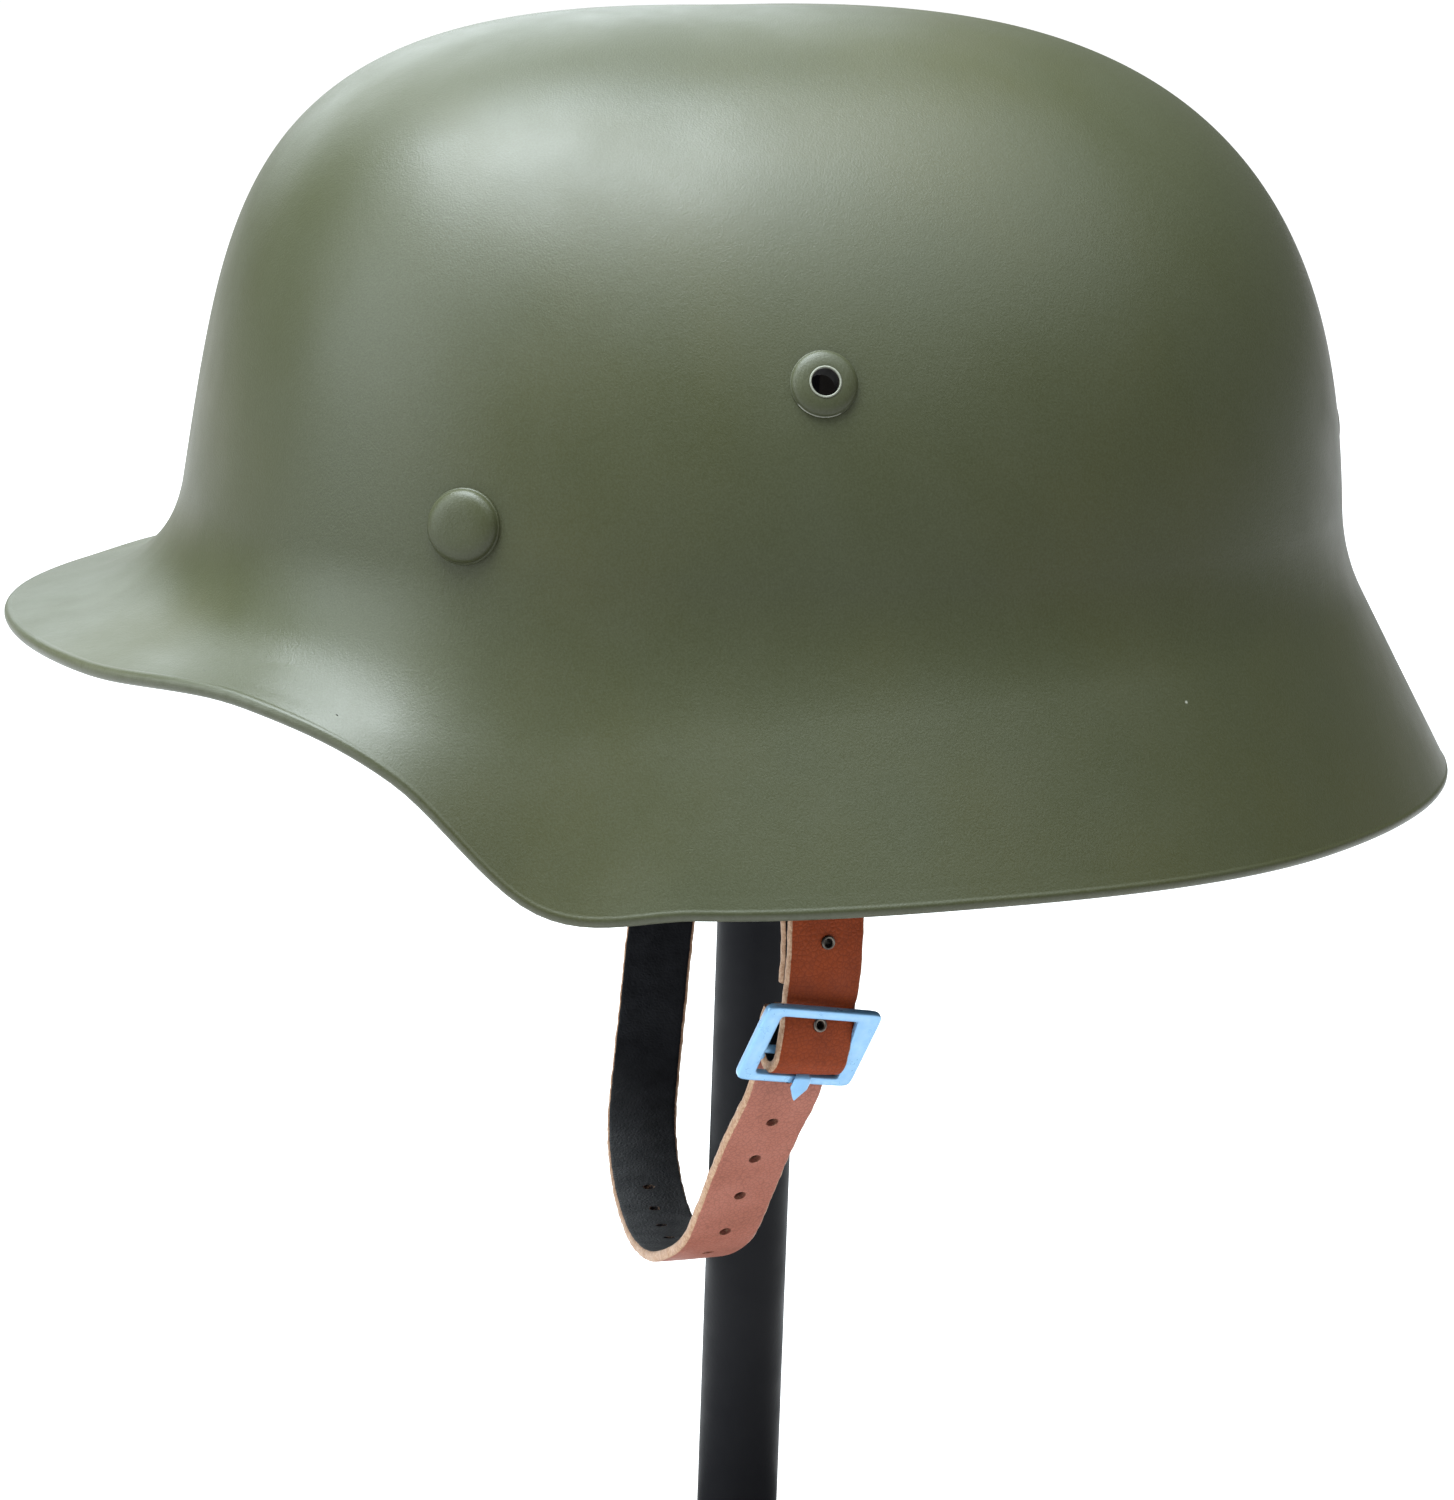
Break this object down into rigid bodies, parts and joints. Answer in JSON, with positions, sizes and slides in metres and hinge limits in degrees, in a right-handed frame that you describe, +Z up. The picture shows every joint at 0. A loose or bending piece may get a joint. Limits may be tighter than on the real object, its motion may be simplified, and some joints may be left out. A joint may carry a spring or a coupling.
{
  "type": "steel helmet on display stand",
  "caption": "Flared military steel helmet with rolled rim, vents, liner rivets and a buckled leather chin strap, resting on a plain pole stand with a round foot.",
  "frame": {"origin": "centre of the stand's foot, on the surface it stands on", "axes": "+Z up along the pole, -Y to the helmet's front, +X to the wearer's left, which is the buckle's side"},
  "size_m": [0.235, 0.2855, 0.3492],
  "materials": {
    "shell_paint": "satin olive-green paint, fine texture",
    "strap_leather": "smooth brown grain face, black flesh side, raw tan edges",
    "buckle_metal": "light blue coated metal, satin",
    "eyelet_steel": "dull grey steel",
    "loop_steel": "dull dark steel",
    "stand_black": "satin black"
  },
  "bodies": {
    "root": {"helmet_shell": "shell_paint", "liner_rivet_left": "shell_paint", "liner_rivet_right": "shell_paint", "liner_rivet_rear": "shell_paint", "vent_bushing_left": "shell_paint", "vent_bushing_right": "shell_paint", "strap_short": "strap_leather", "strap_long": "strap_leather", "strap_eyelet_upper": "eyelet_steel", "strap_eyelet_lower": "eyelet_steel", "strap_eyelet_far": "eyelet_steel", "buckle_frame": "buckle_metal", "buckle_prong": "buckle_metal", "strap_loop_left": "loop_steel", "strap_loop_right": "loop_steel", "stand_base": "stand_black", "stand_pole": "stand_black", "stand_cap": "stand_black"}
  },
  "joints": []
}
